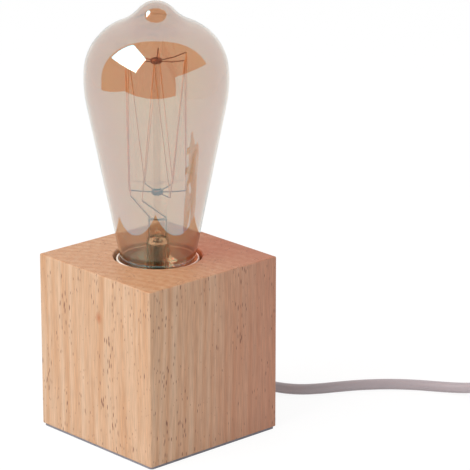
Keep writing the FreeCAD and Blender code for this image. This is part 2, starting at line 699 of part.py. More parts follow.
def make_filament():
    """One wire that runs up and down between the hooks as an open cage."""
    first, second = lead_tips()
    outside = HOOK_WIRE_R + FILAMENT_R - 0.05
    reach_up = UPPER_HOOK_REACH + outside
    reach_down = LOWER_HOOK_REACH + outside
    ups = [hook_tip(a, reach_up, UPPER_HUB_Z + UPPER_HOOK_RISE) for a in upper_angles()]
    downs = [hook_tip(a, reach_down, LOWER_HUB_Z + LOWER_HOOK_RISE) for a in lower_angles()]
    route = [second]
    for k in range(UPPER_HOOKS):
        route.append(ups[k])
        if k < LOWER_HOOKS:
            route.append(downs[k])
    route.append(first)
    pieces = []
    for start, end in zip(route, route[1:]):
        pieces += wire_run(start, end, FILAMENT_R)
    export(in_mount(pieces[0].fuse(pieces[1:]).removeSplitter()), "filament")


def make_leads():
    """Lead wires from the cap through the pinch, both bent the same way up to the filament's ends."""
    first, second = lead_tips()
    wall = V(LEAD_R - CAP_R + CAP_WALL + 0.05, 0, CEMENT_BOTTOM - 3.0)
    solder = V(0, 0, INSULATOR_BOTTOM + LEAD_R + 0.05)
    bore = V(0, 0, INSULATOR_TOP + 1.0)
    side = (-LEAD_X, first, [wall], "side_lead")
    middle = (LEAD_X, second, [solder, bore], "tip_lead")
    for x, tip, feet, name in (side, middle):
        kink = V(x, 0, LEAD_KINK_Z)
        end = tip - (tip - kink).normalize() * (LEAD_R + FILAMENT_R + LEAD_GAP)
        route = feet + [V(x, 0, FLARE_BOTTOM - 3.0), kink, end]
        pieces = []
        for start, stop in zip(route, route[1:]):
            pieces += wire_run(start, stop, LEAD_R)
        export(in_mount(pieces[0].fuse(pieces[1:]).removeSplitter()), name)


def make_bulb_cap():
    """Screw cap, its cement, its glass insulator and the solder tip."""
    inner = CAP_R - CAP_WALL
    lip = inner - 0.7
    shell = turned([
        (lip, CAP_BOTTOM - 0.6), (CAP_R - 0.4, CAP_BOTTOM - 0.6), (CAP_R, CAP_BOTTOM - 0.2),
        (CAP_R, CAP_TOP - 0.4), (CAP_R - 0.1, CAP_TOP), (inner, CAP_TOP), (inner, CAP_BOTTOM),
        (lip, CAP_BOTTOM - 0.35),
    ])
    export(shell, "cap_shell")
    putty_r = inner - 0.05
    putty_top = CAP_TOP - 2.0
    putty = [(CEMENT_R, CEMENT_BOTTOM), (putty_r, CEMENT_BOTTOM), (putty_r, putty_top), (CEMENT_R, putty_top)]
    export(turned(putty), "cap_cement")
    insulator = turned([
        (INSULATOR_BORE_R, INSULATOR_BOTTOM), (CONTACT_R + 0.5, INSULATOR_BOTTOM),
        (lip - 0.8, CAP_BOTTOM - 1.2),
        (lip - 0.1, CAP_BOTTOM - 0.7), (lip - 0.1, CAP_BOTTOM - 0.2), (inner - 0.1, CAP_BOTTOM + 0.15),
        (inner - 0.1, INSULATOR_TOP), (INSULATOR_BORE_R, INSULATOR_TOP),
    ])
    export(insulator, "cap_insulator")
    dome = turned([(0, CONTACT_TIP), (2.2, CONTACT_TIP), (3.7, CONTACT_TIP + 0.4), (4.5, CONTACT_TIP + 1.0),
                   (CONTACT_R, CONTACT_TOP), (0, CONTACT_TOP)])
    export(dome, "tip_contact")


def coil_radii():
    """Inner and outer radius of the coil's spirals."""
    half = COIL_TURNS / COIL_LAYERS * COIL_STEP / 2
    return COIL_MIDDLE_R - half, COIL_MIDDLE_R + half


def coil_point(turn):
    """A point on the coil. It spirals in and out, and climbs a layer where the spiral reverses."""
    per_layer = COIL_TURNS / COIL_LAYERS
    inner, outer = coil_radii()
    nearest = max(1, min(COIL_LAYERS - 1, round(turn / per_layer)))
    past = turn - nearest * per_layer
    climb = (1 + math.sin(math.pi * max(-0.5, min(0.5, 2 * past)))) / 2
    layer = nearest - 1 + climb
    bend = abs(past) if abs(past) > 0.25 else past**2 / 0.5 + 0.125
    radius = inner + COIL_STEP * bend if nearest % 2 else outer - COIL_STEP * bend
    angle = math.radians(COIL_START_ANGLE - 360 * turn)
    place = V(radius * math.cos(angle), radius * math.sin(angle), CORD_R + COIL_STEP * layer)
    return COIL_PLACE + place


def coil_heading(turn):
    """The direction of the coil at a point."""
    step = 1e-4
    return (coil_point(turn + step) - coil_point(turn - step)).normalize()


def biarc(start, start_along, end, end_along):
    """Two arcs that join smoothly and leave both ends in the given directions."""
    chord = end - start
    both = start_along + end_along
    spread = 2 * (1 - start_along.dot(end_along))
    reach = (math.sqrt(chord.dot(both) ** 2 + spread * chord.dot(chord)) - chord.dot(both)) / spread
    corner_a = start + start_along * reach
    corner_b = end - end_along * reach
    join = (corner_a + corner_b) * 0.5
    arcs = []
    for a, corner, b in ((start, corner_a, join), (join, corner_b, end)):
        middle = (a + b) * 0.5
        half = a.distanceToPoint(b) / 2
        height = corner.distanceToPoint(middle)
        lean = math.atan2(height, half)
        rise = half / math.sin(lean) * (1 - math.cos(lean))
        arcs.append(Part.Arc(a, middle + (corner - middle).normalize() * rise, b).toShape())
    return arcs


def coil_ends():
    """The ends of the coil's tube, one diameter past its turns, with their directions."""
    first = coil_heading(0)
    last = coil_heading(COIL_TURNS)
    return coil_point(0) - first * CORD_D, first, coil_point(COIL_TURNS) + last * CORD_D, last


def make_coil():
    start, _, end, _ = coil_ends()
    knots = [COIL_TURNS * k / round(COIL_TURNS * 4) for k in range(round(COIL_TURNS * 4) + 1)]
    edges = [Part.LineSegment(start, coil_point(0)).toShape()]
    for a, b in zip(knots, knots[1:]):
        edges += biarc(coil_point(a), coil_heading(a), coil_point(b), coil_heading(b))
    edges.append(Part.LineSegment(coil_point(COIL_TURNS), end).toShape())
    solid = tube(edges, CORD_R)
    length = sum(edge.Length for edge in edges)
    per_turn = 48
    line = [coil_point(k / per_turn) for k in range(int(COIL_TURNS * per_turn) + 1)]
    apart = per_turn // 3
    pairs = (a.distanceToPoint(b) for i, a in enumerate(line) for b in line[i + apart:])
    print("coil length %.1f volume share %.4f" % (length, solid.Volume / (math.pi * CORD_R**2 * length)))
    print("least gap between turns %.2f" % (min(pairs) - CORD_D), "radii %.1f to %.1f" % coil_radii())
    export(solid, "cord_coil")
    return length


def along_switch(distance):
    """A point on the cord's line through the switch, from its middle."""
    a = math.radians(SWITCH_TURN)
    return tuple(SWITCH_PLACE + V(distance * math.cos(a), distance * math.sin(a), SWITCH_SPLIT))


def make_cords():
    """The cord's stretches, one after the other. Gives the plug's place and heading."""
    half = SWITCH_LENGTH / 2
    start, _, end, _ = coil_ends()
    total = free_cord(list(CORD_TO_SWITCH) + [along_switch(-half)], "cord_to_switch")
    total += free_cord([along_switch(half)] + list(SWITCH_TO_COIL) + [tuple(start)], "cord_to_coil")
    total += make_coil()
    total += free_cord([tuple(end)] + list(CORD_TO_PLUG), "cord_to_plug")
    print("cord with its switch: %.0f" % (total + SWITCH_LENGTH))
    last = V(*CORD_TO_PLUG[-1])
    along = last - V(*CORD_TO_PLUG[-2])
    return last, math.degrees(math.atan2(along.y, along.x))


def in_switch(shape):
    """Moves a piece from the switch's own frame to where the switch lies."""
    shape.rotate(ORIGIN, UP, SWITCH_TURN)
    shape.translate(SWITCH_PLACE)
    return shape


def switch_plan(inset, low, high):
    """The switch's plan: full width in the middle, narrower at the cord's ends."""
    half = SWITCH_LENGTH / 2 - inset
    wide = SWITCH_WIDTH / 2 - inset
    narrow = SWITCH_END_WIDTH / 2 - inset
    shoulder = SWITCH_LENGTH * 0.3
    points = [
        (-half, -narrow), (-shoulder, -wide), (shoulder, -wide), (half, -narrow),
        (half, narrow), (shoulder, wide), (-shoulder, wide), (-half, narrow),
    ]
    radii = [2.4 - inset / 2, 14.0, 14.0, 2.4 - inset / 2] * 2
    return rounded_plan(points, radii, low, high)


def make_switch():
    half = SWITCH_LENGTH / 2
    cord = Part.makeCylinder(CORD_R, SWITCH_LENGTH, V(-half, 0, SWITCH_SPLIT), V(1, 0, 0))
    base = switch_plan(0, 0, SWITCH_SPLIT)
    base = base.makeChamfer(0.8, edges_at(base, 0))
    base = base.cut(switch_plan(SWITCH_WALL, SWITCH_WALL, SWITCH_SPLIT + 1))
    cover = switch_plan(0, SWITCH_SPLIT, SWITCH_HEIGHT)
    cover = cover.makeFillet(SWITCH_EDGE, edges_at(cover, SWITCH_HEIGHT))
    cover = cover.cut(switch_plan(SWITCH_WALL, SWITCH_SPLIT - 1, SWITCH_HEIGHT - SWITCH_WALL))
    slot_x = ROCKER_LENGTH / 2 + ROCKER_SLOT_GAP
    slot_y = ROCKER_WIDTH / 2 + ROCKER_SLOT_GAP
    cover = cover.cut(box(-slot_x, slot_x, -slot_y, slot_y, SWITCH_SPLIT, SWITCH_HEIGHT + 1))
    cheek_y = slot_y + 0.05
    for side in (-1, 1):
        near, far = sorted((side * cheek_y, side * (SWITCH_WIDTH / 2 - SWITCH_WALL + 0.2)))
        cover = cover.fuse(box(-2.5, 2.5, near, far, ROCKER_AXIS_Z - 2.4, SWITCH_HEIGHT - SWITCH_WALL + 0.1))
    pin_hole = Part.makeCylinder(ROCKER_PIN_R + 0.05, 2 * ROCKER_PIN_REACH + 0.4,
                                 V(0, -ROCKER_PIN_REACH - 0.2, ROCKER_AXIS_Z), V(0, 1, 0))
    cover = cover.removeSplitter().cut(pin_hole)
    places = ((-SWITCH_SCREW_X, SWITCH_SCREW_Y), (SWITCH_SCREW_X, -SWITCH_SCREW_Y))
    for x, y in places:
        pillar = cylinder(2.4, SWITCH_SPLIT, SWITCH_HEIGHT - SWITCH_WALL + 0.1, x, y)
        cover = cover.fuse(pillar.cut(cylinder(1.2, 0, SWITCH_HEIGHT - 3, x, y)))
        base = base.fuse(cylinder(3.0, SWITCH_WALL - 0.1, SWITCH_SPLIT, x, y))
        base = base.cut(cylinder(1.35, 0, SWITCH_SPLIT + 1, x, y))
        base = base.cut(cylinder(2.5, -1, 2.2, x, y))
    export(in_switch(base.removeSplitter().cut(cord)), "switch_base")
    export(in_switch(cover.removeSplitter().cut(cord)), "switch_cover")
    screws = []
    for x, y in places:
        screw = turned([(0, 0), (2.3, 0), (2.3, 1.5), (1.15, 1.5), (1.15, 10.5), (0, 11.5)])
        screw = screw.cut(box(-0.35, 0.35, -1.5, 1.5, -1, 0.6))
        screw.translate(V(x, y, 0.7))
        screws.append(screw)
    export(in_switch(Part.Compound(screws)), "switch_screws")
    inner = half - SWITCH_SHEATH
    sheaths = []
    for x in (-half, inner):
        start = V(x, 0, SWITCH_SPLIT)
        sheaths.append(Part.makeCylinder(CORD_R - 0.02, SWITCH_SHEATH, start, V(1, 0, 0)))
    export(in_switch(Part.Compound(sheaths)), "switch_sheaths")
    make_switch_contacts(inner)
    make_rocker()


def make_switch_contacts(inner):
    """The neutral core runs straight through; the live core is cut and joined by two contacts."""
    wire_r = WIRE_D / 2
    half_route = [(-inner, -CORE_SPREAD, SWITCH_SPLIT), (-12.5, -CORE_SPREAD, SWITCH_SPLIT), (-7, -3.0, 4.2)]
    other_half = [(-x, y, z) for x, y, z in reversed(half_route)]
    through, _ = rounded_route(half_route + other_half)
    pieces = [tube(through, wire_r)]
    for start in (-inner, CONTACT_POST_END):
        length = inner - CONTACT_POST_END
        pieces.append(Part.makeCylinder(wire_r, length, V(start, CORE_SPREAD, SWITCH_SPLIT), V(1, 0, 0)))
    export(in_switch(Part.Compound(pieces)), "switch_wires")
    contacts = []
    for low in (-CONTACT_POST_END, CONTACT_POST_END - CONTACT_POST_LENGTH):
        high = low + CONTACT_POST_LENGTH
        post = box(low, high, 0.2, 4.2, SWITCH_WALL, 7.6)
        contacts.append(post.cut(box(low + 0.8, high - 0.8, -1, 5, 3.0, 5.2)))
    export(in_switch(Part.Compound(contacts)), "switch_contacts")


def make_rocker():
    """A rocker that tips about its pin. It is drawn level and tipped to its rest side."""
    half = ROCKER_LENGTH / 2
    wide = ROCKER_WIDTH / 2
    low = ROCKER_AXIS_Z - 2.2
    crown = SWITCH_HEIGHT + 0.5
    horn = SWITCH_HEIGHT + 1.6
    side_z = SWITCH_HEIGHT - 1.2
    outline = [V(-half + 1.4, -wide, low), V(half - 1.4, -wide, low), V(half, -wide, side_z),
               V(half - 0.3, -wide, horn)]
    top = Part.Arc(V(half - 0.3, -wide, horn), V(0, -wide, crown), V(-half + 0.3, -wide, horn)).toShape()
    sides = [V(-half + 0.3, -wide, horn), V(-half, -wide, side_z), V(-half + 1.4, -wide, low)]
    edges = Part.makePolygon(outline).Edges + [top] + Part.makePolygon(sides).Edges
    rocker = Part.Face(Part.Wire(Part.__sortEdges__(edges))).extrude(V(0, ROCKER_WIDTH, 0))
    pin_start = V(0, -ROCKER_PIN_REACH, ROCKER_AXIS_Z)
    pin = Part.makeCylinder(ROCKER_PIN_R, 2 * ROCKER_PIN_REACH, pin_start, V(0, 1, 0))
    nose = box(-1.2, 1.2, -1.5, 1.5, low - 1.2, low + 0.2)
    rocker = rocker.fuse([pin, nose]).removeSplitter()
    rocker.rotate(V(0, 0, ROCKER_AXIS_Z), V(0, 1, 0), -ROCKER_TILT)
    export(in_switch(rocker), "switch_rocker")


def make_plug(place, heading):
    """Moulded plug body with its ribbed tail, and two round pins."""
    half = PLUG_WIDTH / 2
    low = -PLUG_THICKNESS / 2
    start = PLUG_RELIEF
    end = start + PLUG_LENGTH
    plan = [
        (start - 1, -5.2), (start + 5, -6.8), (end - 12, -half + 1.5), (end - 9, -half), (end, -half),
        (end, half), (end - 9, half), (end - 12, half - 1.5), (start + 5, 6.8), (start - 1, 5.2),
    ]
    radii = [2.0, 8.0, 4.0, 4.0, 3.0, 3.0, 4.0, 4.0, 8.0, 2.0]
    body = rounded_plan(plan, [min(r, 2.4) for r in radii], low, -low)
    level = edges_at(body, low) + edges_at(body, -low)
    body = body.makeFillet(2.2, level)
    tail = Part.makeCone(CORD_R + 0.9, 4.9, start + 1, ORIGIN, V(1, 0, 0))
    for k in range(4):
        ring = Part.makeCylinder(7, 1.1, V(2.2 + 2.8 * k, 0, 0), V(1, 0, 0))
        ring = ring.cut(Part.makeCylinder(CORD_R + 0.75 + 0.28 * k, 1.1, V(2.2 + 2.8 * k, 0, 0), V(1, 0, 0)))
        tail = tail.cut(ring)
    body = body.fuse(tail).removeSplitter()
    pins = []
    for y in (-PIN_SPACING / 2, PIN_SPACING / 2):
        pin = Part.makeCylinder(PIN_R, PIN_LENGTH, V(end, y, 0), V(1, 0, 0))
        far = [e for e in pin.Edges if e.BoundBox.XMin > end + PIN_LENGTH - 0.01]
        shank = Part.makeCylinder(PIN_SHANK_R, PIN_SHANK, V(end - PIN_SHANK, y, 0), V(1, 0, 0))
        pins.append(pin.makeFillet(PIN_TIP_EASING, far).fuse(shank))
        body = body.cut(shank)
    for shape, name in ((body, "plug_body"), (Part.Compound(pins), "plug_pins")):
        shape.rotate(ORIGIN, UP, heading)
        shape.translate(place)
        export(shape, name)
    print("plug heading %.1f from" % heading, [round(c, 2) for c in place])


make_block()
make_pad()
make_plate()
make_cord_bush()
make_cord_clamp()
make_nipple()
make_holder_cap()
make_holder_skirt()
make_holder_insert()
make_terminals()
make_wire(-1, "live_wire")
make_wire(1, "neutral_wire")
make_centre_contact()
make_stem(make_envelope())
make_rod()
make_hooks()
make_filament()
make_leads()
make_bulb_cap()
plug_place, plug_heading = make_cords()
make_switch()
make_plug(plug_place, plug_heading)
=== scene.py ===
import bpy
import math
from bpy.props import FloatProperty, FloatVectorProperty, IntProperty, PointerProperty
from mathutils import Matrix, Vector


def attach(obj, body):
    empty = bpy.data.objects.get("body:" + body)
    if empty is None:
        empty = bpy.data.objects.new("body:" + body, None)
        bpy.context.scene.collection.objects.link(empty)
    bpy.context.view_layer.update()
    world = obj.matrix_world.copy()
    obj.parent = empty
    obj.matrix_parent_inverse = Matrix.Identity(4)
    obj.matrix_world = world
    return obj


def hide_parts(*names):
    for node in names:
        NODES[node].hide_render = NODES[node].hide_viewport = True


bl_info = {
    "name": "Bare bulb table lamp",
    "version": (1, 0, 0),
    "blender": (4, 5, 0),
    "location": "3D View > Sidebar > Lamp",
    "description": "Dresses a wooden cube lamp with a teardrop filament bulb, its cord, switch and plug",
    "category": "Object",
}

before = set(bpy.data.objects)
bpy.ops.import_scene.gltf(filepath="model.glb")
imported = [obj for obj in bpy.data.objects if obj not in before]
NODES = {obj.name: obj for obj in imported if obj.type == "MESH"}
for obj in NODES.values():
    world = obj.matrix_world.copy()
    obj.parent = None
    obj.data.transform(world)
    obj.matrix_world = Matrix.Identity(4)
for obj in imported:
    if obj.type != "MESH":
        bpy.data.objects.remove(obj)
MM = 0.001
MERGE_DISTANCE = 0.01 * MM

# Where the photograph was taken from, in degrees and metres, and the camera's sensor and clipping
VIEW_AZIMUTH = 47.413
VIEW_ELEVATION = 17.831
CAMERA_PLACE = (0.968709, -0.843611, 0.504362)
SENSOR_WIDTH_MM = 36
CLIP_START = 0.05
CLIP_END = 20

# Table top, in metres. It reaches 0.69 m to each side and 0.6 m towards the camera, as its mirror image in
# the bulb shows.
TABLE_SIZE = (1.38, 3.0)
TABLE_BEHIND = 0.9
TABLE_GLOW = 1.05

# White card that stands on the table at the right, in metres and degrees
CARD_SIZE = (0.85, 0.325)
CARD_PLACE = (0.449, 0.213, 0.1625)
CARD_HEADING = 123.3
CARD_GLOW = 0.95

# Soft box on the left, in metres, and the ways that its long and its short edge run
BOX_SIZE = (0.79, 0.63)
BOX_PLACE = (-0.048, -0.615, 0.833)
BOX_ALONG = (0.692, -0.378, -0.044)
BOX_DOWN = (-0.120, -0.166, -0.594)

# Dark room on the camera's side: where its edge fades, as the cosine from the line of sight, and how bright
# it is
ROOM_EDGE = (-0.10, -0.06)
ROOM_LEVEL = 0.05

# Outline of the bulb from its tip, in millimetres and degrees: (radius, turn) or (straight run,)
BULB_TIP = 198.2
BULB_OUTLINE = (
    (10.2, 48.8), (23.1, -27.1), (24.4, 63.3), (55.6, 16.3), (73.6,), (12.0, 35.0), (4.0, -46.3), (3.5,),
)
ARC_STEP = 3.0

# The bulb's cap, in millimetres: its rounded foot and its beaded collar as (radius, height), and the thread
# between them
CAP_RADIUS = 13.1
CAP_SHEET = 0.25
CAP_FOOT = (
    (12.1, 53.45), (12.1, 53.2), (12.5, 53.2), (12.85, 53.26), (13.05, 53.5), (13.1, 53.85), (13.1, 56.0),
)
CAP_COLLAR = (
    (13.1, 66.6), (13.1, 70.6), (13.0, 71.0), (12.95, 71.3), (13.05, 71.6), (13.1, 72.3), (13.04, 72.7),
    (12.97, 72.8),
)
THREAD_LOW = 56.0
THREAD_HIGH = 66.6
THREAD_FADE = 1.6
THREAD_STEPS = 72
WAVE_STEPS = 10

# Grain of the wood, which runs along Z: cells in a metre along X, Y and Z, and lengths in metres
WAVER = (16.0, 16.0, 4.0)
WAVER_REACH = 0.016
PITH_SHIFT = (-0.055, 0.135, 0.0)
RING_SPACING = 0.005
STREAKS = (400.0, 400.0, 14.0)
FIBRES = (2200.0, 2200.0, 110.0)
PORES = (900.0, 900.0, 190.0)
PORE_CROWDS = (150.0, 150.0, 40.0)
END_GRAIN = (0.92, 0.80, 0.70)

# Pin knot on the front left side, in metres: where its middle is, and from where to where it darkens
KNOT_X = 0.0032
KNOT_Z = 0.0619
KNOT_FADE = (2.4 * MM, 0.3 * MM)
KNOT_SQUASH = (1.0, 0.0, 0.7)
KNOT_SIDE = -0.03
KNOT_COLOUR = "#B4683A"

# Glass: its ripples in cells in a metre, what it bends light by, and the lustre in nanometres
RIPPLES = (110.0, 110.0, 22.0)
SODA_LIME_IOR = 1.52
LEAD_GLASS_IOR = 1.56
LUSTRE = {"Thin Film Thickness": 173.0, "Thin Film IOR": 2.12}

# Plain finishes: how much wider than the grain the mottling is, and how far the roughness goes
MOTTLE_WIDTH = 14
ROUGHNESS_SPREAD = 0.06

# Route of the cord from the back of the cube to the switch, in metres
CORD_TO_SWITCH = (
    (0.0, 0.0455, 0.0075), (0.0, 0.0522, 0.0075), (0.0012, 0.0590, 0.0062), (0.0042, 0.0652, 0.0041),
    (0.0092, 0.0706, 0.0028), (0.0148, 0.0760, 0.0025), (0.0196, 0.0832, 0.0025), (0.0236, 0.0912, 0.0025),
    (0.0286, 0.1002, 0.0025), (0.0362, 0.1104, 0.0025), (0.0458, 0.1192, 0.0025), (0.0566, 0.1262, 0.0026),
    (0.0660, 0.1309, 0.0034), (0.0730, 0.1330, 0.0051), (0.0792, 0.1336, 0.0065), (0.0855, 0.1336, 0.0065),
)
SWITCH_END = (0.1395, 0.1336, 0.0065)
SWITCH_TO_COIL = (
    (0.1447, 0.1336, 0.0065), (0.1521, 0.1329, 0.0050), (0.1581, 0.1305, 0.0033), (0.16377, 0.12659, 0.0025),
)
CORD_TO_PLUG = (
    (0.11477, 0.10733, 0.01915), (0.1177, 0.1175, 0.0210), (0.1249, 0.1252, 0.0236), (0.1347, 0.1289, 0.0255),
    (0.1452, 0.1278, 0.0269), (0.1540, 0.1221, 0.0279), (0.1594, 0.1131, 0.0285), (0.1601, 0.1026, 0.0285),
)

# Coil of the length that is put away: four layers, each a spiral, in metres, turns and degrees. A layer goes
# over into the next within COIL_REVERSAL before and after the middle of the change.
COIL_PLACE = Vector((0.1486, 0.097, 0.0))
COIL_TURNS = 8.6
COIL_LAYERS = 4
COIL_MIDDLE = 0.0254
COIL_STEP = 0.00555
COIL_BASE = 0.0025
COIL_START = 45.0
COIL_REVERSAL = 0.25
COIL_POINTS_PER_TURN = 16


def linear(code):
    """A colour written as sRGB hex, as the linear values that a shader takes."""
    values = [int(code[i:i + 2], 16) / 255 for i in (1, 3, 5)]
    return tuple(v / 12.92 if v <= 0.04045 else ((v + 0.055) / 1.055) ** 2.4 for v in values)


def tint(name, description, code):
    """A colour property with its default written as sRGB hex."""
    return FloatVectorProperty(name=name, description=description, subtype="COLOR", size=3, min=0.0, max=1.0,
                               default=linear(code))


class LampSizes(bpy.types.PropertyGroup):
    """Sizes of the pieces that are modelled here."""
    glass_wall: FloatProperty(name="Glass wall", description="Thickness of the bulb's glass",
                              default=0.9 * MM, unit="LENGTH")
    cord_diameter: FloatProperty(name="Cord diameter", description="Outside of the round cord",
                                 default=5 * MM, unit="LENGTH")
    thread_pitch: FloatProperty(name="Thread pitch", default=3.629 * MM, unit="LENGTH",
                                description="Rise of the lamp cap's rolled thread in one turn")
    thread_depth: FloatProperty(name="Thread depth", default=1.0 * MM, unit="LENGTH",
                                description="From the crest to the root of the rolled thread")
    turn_steps: IntProperty(name="Steps", description="Faces around a turned piece", default=144, min=24)


class LampColours(bpy.types.PropertyGroup):
    """Colours of the finishes."""
    sapwood: tint("Sapwood", "Pale wood of the cube", "#D4B192")
    grainwood: tint("Grain", "Darker bands of the growth rings", "#C79770")
    # painted shade: a redder tint for the back right of the cube, where its right side lies in shade and the
    # bulb's amber shadow falls on the top
    painted_shade_red: tint("Heartwood", "Redder wood towards the back", "#BB7A61")
    pore: tint("Pores", "Open pores along the grain", "#7A4A32")
    glass: tint("Glass", "What the lustred glass lets through", "#E1C9B1")
    clear: tint("Mount glass", "Lead glass of the stem and rod", "#F6EFE6")
    cord: tint("Cord", "Grey cord sheath", "#B9B0B4")
    moulding: tint("Moulding", "Switch and plug", "#B9B2B4")
    holder: tint("Lampholder", "Pressed white thermoset", "#F0E6D8")
    filament: tint("Filament", "Squirted carbon filament wire", "#E6C39A")


class StudioSettings(bpy.types.PropertyGroup):
    """Light and camera."""
    key_power: FloatProperty(name="Soft box", description="Power of the soft box on the left", default=9.0,
                             unit="POWER")
    sky: FloatProperty(name="Fill", description="Even light from all around", default=0.62, min=0.0)
    floor_lift: FloatProperty(name="Floor lift", default=0.86, min=0.0, max=1.0, subtype="FACTOR",
                              description="Share of plain white in what the camera sees of the floor")
    lens: FloatProperty(name="Lens", default=232.09,
                        description="Focal length on a 36 mm sensor, in millimetres")


# Tools

def add(tree, kind, inputs=None, **settings):
    """Adds a node with its settings, and sets or links its inputs by name or number."""
    made = tree.nodes.new(kind)
    for name, value in settings.items():
        setattr(made, name, value)
    for key, value in (inputs or {}).items():
        if isinstance(value, bpy.types.NodeSocket):
            tree.links.new(value, made.inputs[key])
        else:
            made.inputs[key].default_value = value
    return made


def new_material(name):
    """An empty node material and its tree."""
    material = bpy.data.materials.new(name)
    material.use_nodes = True
    material.node_tree.nodes.clear()
    return material, material.node_tree


def close_material(tree, shader):
    add(tree, "ShaderNodeOutputMaterial", {"Surface": shader})


def colour(values):
    return (*values, 1.0)


def noise(tree, at, cells, detail):
    """Smooth noise with so many cells in a metre along each axis."""
    place = add(tree, "ShaderNodeMapping", {"Vector": at, "Scale": cells})
    return add(tree, "ShaderNodeTexNoise", {"Vector": place.outputs[0], "Scale": 1.0, "Detail": detail})


def ranged(tree, value, source, target=(0.0, 1.0), **settings):
    """A number moved from between one pair of ends to between another."""
    made = add(tree, "ShaderNodeMapRange", {"Value": value, "From Min": source[0], "From Max": source[1],
                                            "To Min": target[0], "To Max": target[1]}, **settings)
    return made.outputs[0]


def blended(tree, share, first, second, kind="MIX"):
    """The first colour with a share of the second."""
    made = add(tree, "ShaderNodeMix", {"Factor": share, 6: first, 7: second}, data_type="RGBA",
               blend_type=kind)
    return made.outputs[2]


def worked_out(tree, operation, *values):
    """A number worked out from others."""
    return add(tree, "ShaderNodeMath", dict(enumerate(values)), operation=operation).outputs[0]


def scaled(tree, vector, factor):
    return add(tree, "ShaderNodeVectorMath", {0: vector, "Scale": factor}, operation="SCALE").outputs[0]


def dress(names, material):
    """Gives CAD nodes their finish."""
    for name in names:
        NODES[name].material_slots[0].material = material


def deselect():
    if bpy.context.mode != "OBJECT":
        bpy.ops.object.mode_set(mode="OBJECT")
    bpy.ops.object.select_all(action="DESELECT")


def active(name):
    """Names the object that an operator has just made."""
    made = bpy.context.view_layer.objects.active
    made.name = name
    made.data.name = name
    return made


def outline_points(start, heading, moves, arc_step):
    """Points along straight runs and arcs in the X-Z plane. Headings are degrees below +X."""
    points = [Vector(start)]
    for move in moves:
        angle = math.radians(heading)
        at = points[-1]
        if len(move) == 1:
            points.append(at + Vector((math.cos(angle), 0, -math.sin(angle))) * move[0])
            continue
        radius, turn = move
        side = math.copysign(radius, turn)
        centre = at - Vector((math.sin(angle), 0, math.cos(angle))) * side
        count = max(2, round(abs(turn) / arc_step))
        for k in range(1, count + 1):
            here = math.radians(heading + turn * k / count)
            points.append(centre + Vector((math.sin(here), 0, math.cos(here))) * side)
        heading += turn
    return points


def drawn_outline(name, points):
    """An object of one line of edges, extruded point by point."""
    deselect()
    bpy.ops.mesh.primitive_plane_add(size=MM, location=points[0])
    bpy.ops.object.transform_apply(location=True, rotation=True, scale=True)
    bpy.ops.object.mode_set(mode="EDIT")
    bpy.ops.mesh.select_all(action="SELECT")
    bpy.ops.mesh.merge(type="CENTER")
    for before, after in zip(points, points[1:]):
        bpy.ops.mesh.extrude_region_move(TRANSFORM_OT_translate={"value": after - before})
    return active(name)


def turned(name, points, steps):
    """A surface turned about Z from an outline, its doubles merged and its faces pointing out."""
    made = drawn_outline(name, points)
    bpy.ops.mesh.select_all(action="SELECT")
    bpy.ops.mesh.spin(steps=steps, angle=2 * math.pi, center=(0, 0, 0), axis=(0, 0, 1))
    bpy.ops.mesh.select_all(action="SELECT")
    bpy.ops.mesh.remove_doubles(threshold=MERGE_DISTANCE)
    bpy.ops.mesh.normals_make_consistent(inside=False)
    bpy.ops.object.mode_set(mode="OBJECT")
    return made


def apply_modifier(made, kind, **settings):
    """Adds a modifier, sets it and applies it."""
    modifier = made.modifiers.new(kind.title(), kind)
    for name, value in settings.items():
        setattr(modifier, name, value)
    bpy.context.view_layer.objects.active = made
    bpy.ops.object.modifier_apply(modifier=modifier.name)


def smooth(made, degrees=50):
    """Shades a piece smooth, with its edges over so many degrees left sharp."""
    deselect()
    made.select_set(True)
    bpy.context.view_layer.objects.active = made
    bpy.ops.object.shade_smooth_by_angle(angle=math.radians(degrees))


def rolled_thread(name, sizes):
    """The cap's round-crested rolled thread, which fades out into the plain cap at both ends."""
    pitch = sizes.thread_pitch / MM
    depth = sizes.thread_depth / MM
    middle = CAP_RADIUS - depth / 2
    turns = math.ceil((THREAD_HIGH - THREAD_LOW) / pitch) + 1
    wave = [2 * math.pi * k / WAVE_STEPS for k in range(WAVE_STEPS + 1)]
    points = [Vector((middle + depth / 2 * math.cos(a), 0, THREAD_LOW - pitch + pitch * a / 2 / math.pi)) * MM
              for a in wave]
    made = drawn_outline(name, points)
    bpy.ops.object.mode_set(mode="OBJECT")
    apply_modifier(made, "SCREW", angle=2 * math.pi, screw_offset=sizes.thread_pitch, iterations=turns,
                   steps=THREAD_STEPS, render_steps=THREAD_STEPS)
    bpy.ops.object.mode_set(mode="EDIT")
    bpy.ops.mesh.select_all(action="SELECT")
    bpy.ops.mesh.remove_doubles(threshold=MERGE_DISTANCE)
    for height, normal in ((THREAD_LOW, (0, 0, -1)), (THREAD_HIGH, (0, 0, 1))):
        bpy.ops.mesh.select_all(action="SELECT")
        bpy.ops.mesh.bisect(plane_co=(0, 0, height * MM), plane_no=normal, clear_outer=True)
    bpy.ops.mesh.select_all(action="SELECT")
    bpy.ops.mesh.normals_make_consistent(inside=False)
    bpy.ops.object.mode_set(mode="OBJECT")
    for vertex in made.data.vertices:
        inside = min(vertex.co.z / MM - THREAD_LOW, THREAD_HIGH - vertex.co.z / MM)
        share = max(0.0, 1 - inside / THREAD_FADE)
        radius = math.hypot(vertex.co.x, vertex.co.y)
        grown = radius + (CAP_RADIUS * MM - radius) * share
        vertex.co.x *= grown / radius
        vertex.co.y *= grown / radius
    return made


